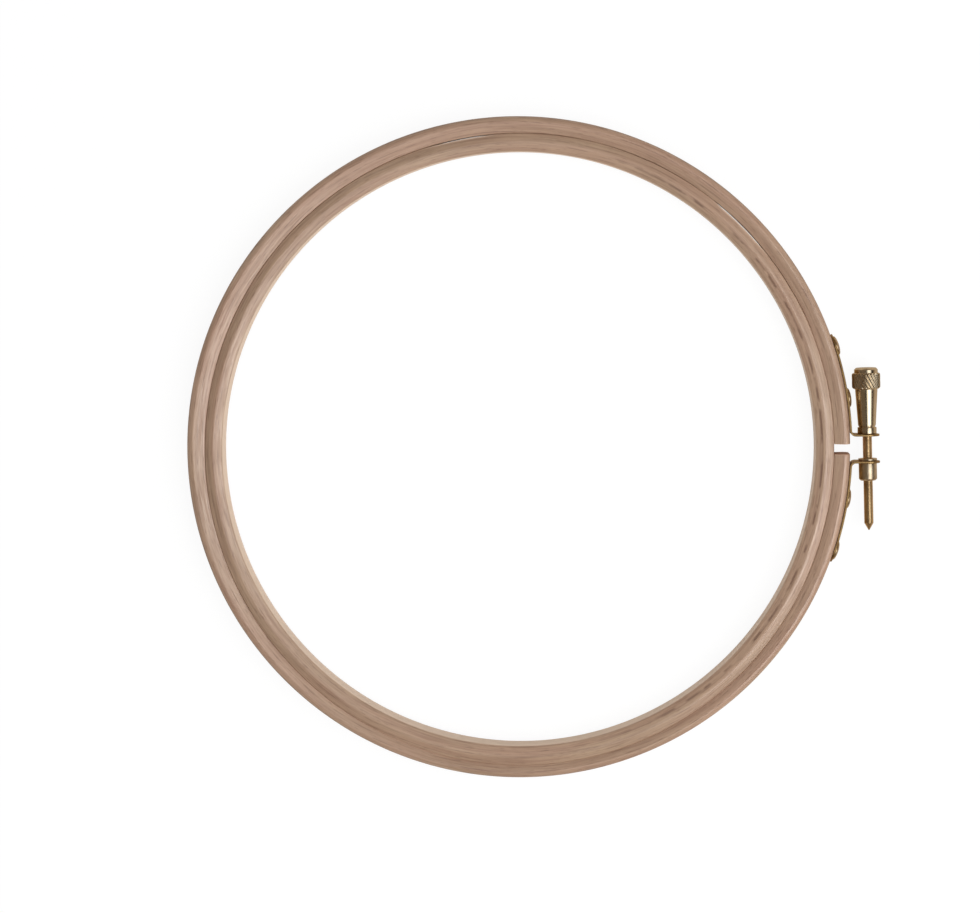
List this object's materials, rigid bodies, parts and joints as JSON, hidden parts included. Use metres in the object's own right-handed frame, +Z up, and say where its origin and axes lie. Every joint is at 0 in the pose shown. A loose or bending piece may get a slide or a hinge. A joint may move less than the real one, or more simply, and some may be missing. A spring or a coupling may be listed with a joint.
{
  "type": "embroidery hoop",
  "caption": "Round wooden embroidery hoop: an inner ring held in a split outer ring that a knurled brass thumbscrew draws tight on the cloth.",
  "frame": {"origin": "bottom centre of the whole hoop's box, on the surface that the hoop lies on; the rings' centre is 4.6 mm to -X of it", "axes": "+Z up along the rings' axis; +X from the rings' centre towards the screw, through the gap of the outer ring; +Y along the screw, from its point to its knob, which leans 1.4 degrees towards the rings"},
  "size_m": [0.2092, 0.2, 0.01],
  "materials": {
    "outer_ring_wood": "sanded steam-bent beech, satin, pale pinkish brown with short ray flecks",
    "inner_ring_wood": "sanded steam-bent beech, satin, a little paler and pinker than the outer ring",
    "bracket_brass": "rolled brass strip, slightly dulled",
    "rivet_brass": "domed brass heads, slightly dulled",
    "screw_brass": "bright turned brass"
  },
  "bodies": {
    "upper_half": {"outer_ring_upper": "outer_ring_wood", "upper_bracket": "bracket_brass", "upper_near_rivet": "rivet_brass", "upper_far_rivet": "rivet_brass"},
    "lower_half": {"outer_ring_lower": "outer_ring_wood", "lower_bracket": "bracket_brass", "lower_near_rivet": "rivet_brass", "lower_far_rivet": "rivet_brass", "threaded_bush": "screw_brass"},
    "clamp_screw": {"knob": "screw_brass", "screw_rod": "screw_brass"},
    "inner_ring": {"inner_ring": "inner_ring_wood"}
  },
  "joints": [
    {"name": "screw_turn", "type": "hinge", "parent": "upper_half", "child": "clamp_screw", "pos_m": [0.1008, 0, 0.005], "axis": [-0.0244, 0.9997, 0], "range_deg": [0, 3600]},
    {"name": "ring_opening", "type": "hinge", "parent": "upper_half", "child": "lower_half", "pos_m": [-0.1022, 0, 0.005], "axis": [0, 0, -1], "range_deg": [0, 1.27]},
    {"name": "inner_ring_lift", "type": "slide", "parent": "upper_half", "child": "inner_ring", "axis": [0, 0, 1], "range_m": [0, 0.03]}
  ],
  "couplings": [
    {"joint": "screw_turn", "follows": "ring_opening", "ratio": 2834.4}
  ]
}
